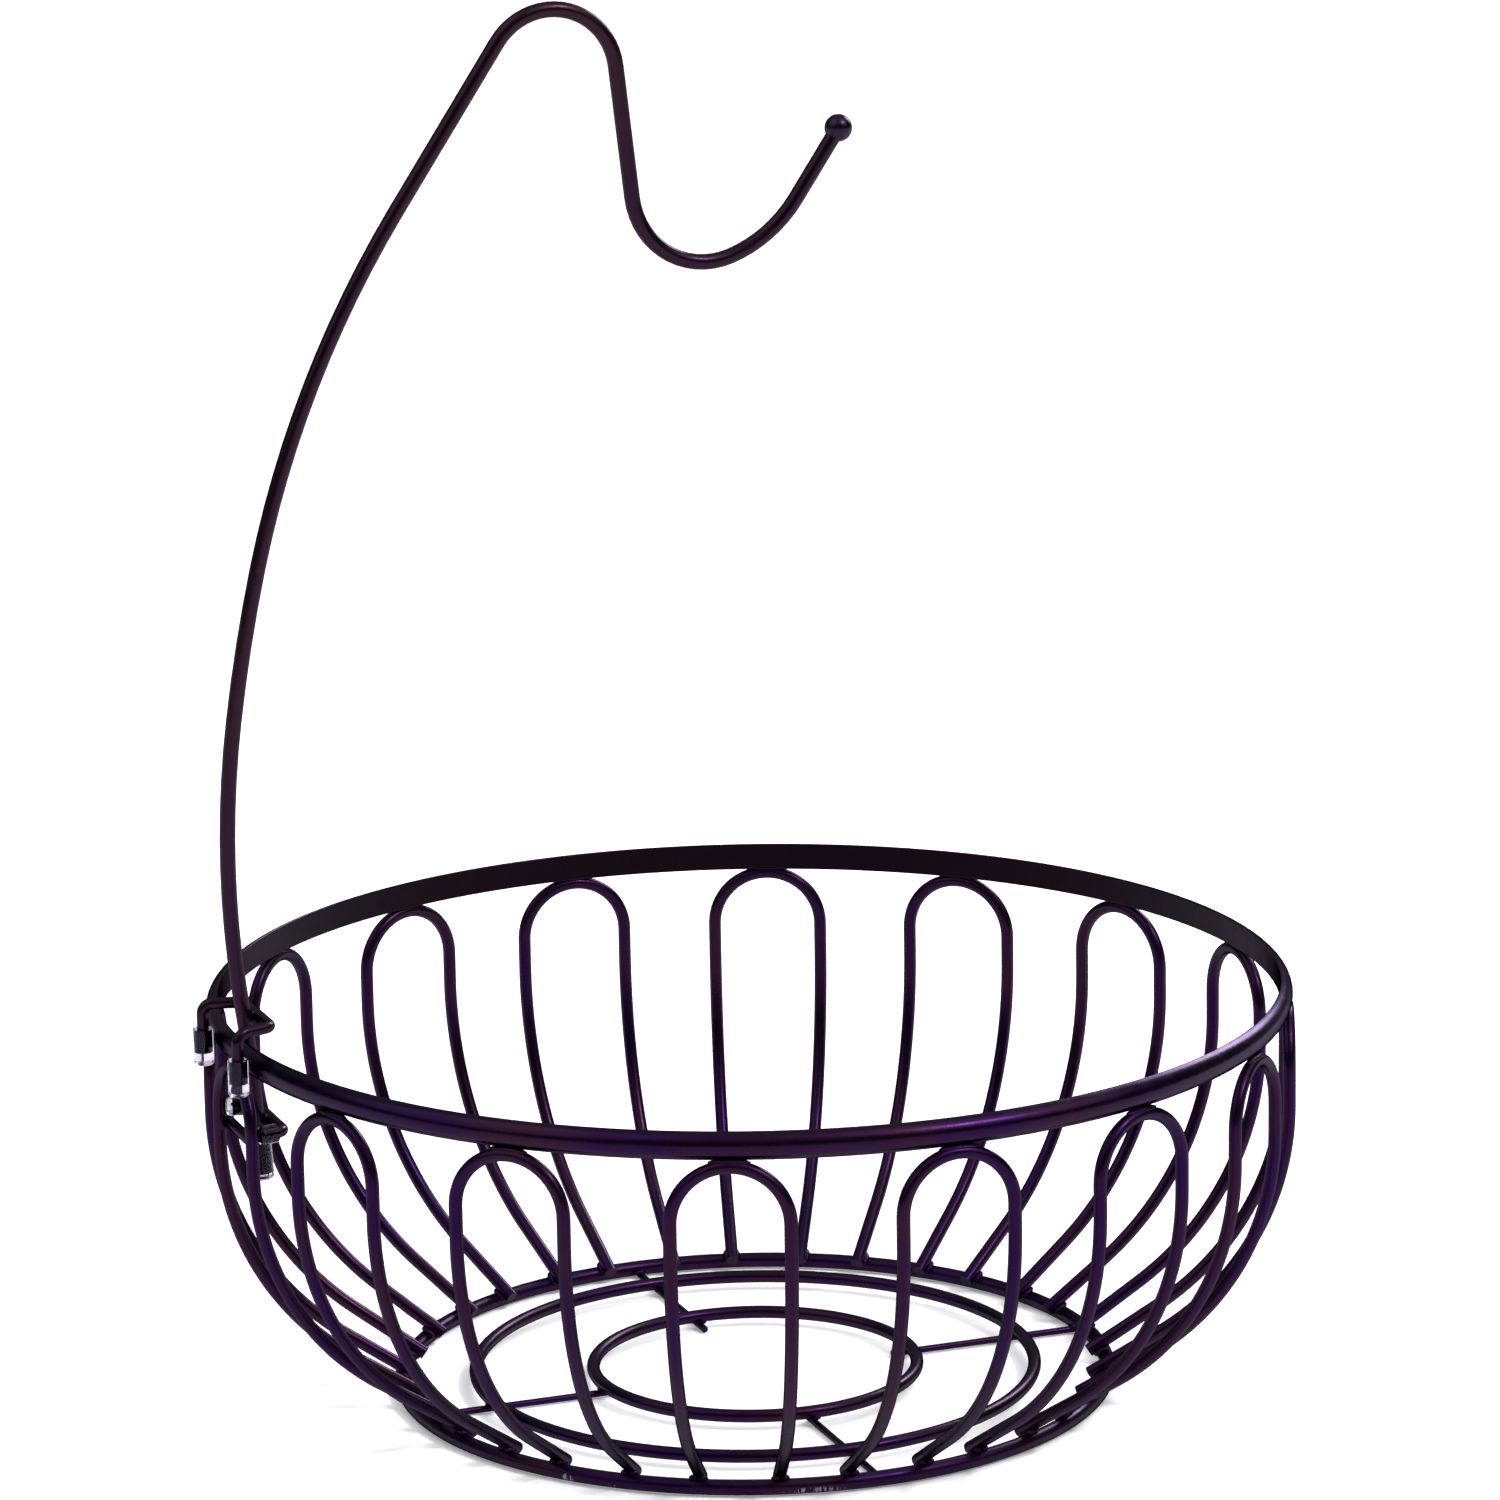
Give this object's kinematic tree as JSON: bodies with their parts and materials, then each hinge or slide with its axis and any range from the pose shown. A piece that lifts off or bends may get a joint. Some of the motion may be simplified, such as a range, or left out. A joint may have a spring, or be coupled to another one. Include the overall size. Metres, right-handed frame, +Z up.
{
  "type": "fruit bowl with banana hanger",
  "caption": "Round open wire fruit bowl with a half-round rim, looped sides and a ring floor, and a tall curved hanger hooked on the rim that ends in an open hook with a ball.",
  "frame": {"origin": "centre of the base ring on the table", "axes": "+Z up; the front looks along -Y; the hanger stands at the left, a little to the front"},
  "size_m": [0.2818, 0.2816, 0.3637],
  "materials": {
    "bowl_wire": "satin powder coat, near black",
    "hanger_wire": "satin powder coat, near black",
    "clear_cap": "clear soft vinyl, slightly milky"
  },
  "bodies": {
    "root": {"rim_band": "bowl_wire", "side_loop_01": "bowl_wire", "side_loop_02": "bowl_wire", "side_loop_03": "bowl_wire", "side_loop_04": "bowl_wire", "side_loop_05": "bowl_wire", "side_loop_06": "bowl_wire", "side_loop_07": "bowl_wire", "side_loop_08": "bowl_wire", "side_loop_09": "bowl_wire", "side_loop_10": "bowl_wire", "side_loop_11": "bowl_wire", "side_loop_12": "bowl_wire", "side_loop_13": "bowl_wire", "side_loop_14": "bowl_wire", "side_loop_15": "bowl_wire", "side_loop_16": "bowl_wire", "base_ring": "bowl_wire", "middle_floor_ring": "bowl_wire", "centre_floor_ring": "bowl_wire", "floor_spoke_1": "bowl_wire", "floor_spoke_2": "bowl_wire", "floor_spoke_3": "bowl_wire", "floor_spoke_4": "bowl_wire", "hanger_rest_bar": "bowl_wire", "hanger_rod": "hanger_wire", "hanger_ball": "hanger_wire", "rim_hook_bracket": "hanger_wire", "rest_bracket": "hanger_wire", "hook_cap_front": "clear_cap", "hook_cap_rear": "clear_cap", "rest_cap_front": "clear_cap", "rest_cap_rear": "clear_cap", "rod_end_cap": "clear_cap"}
  },
  "joints": []
}
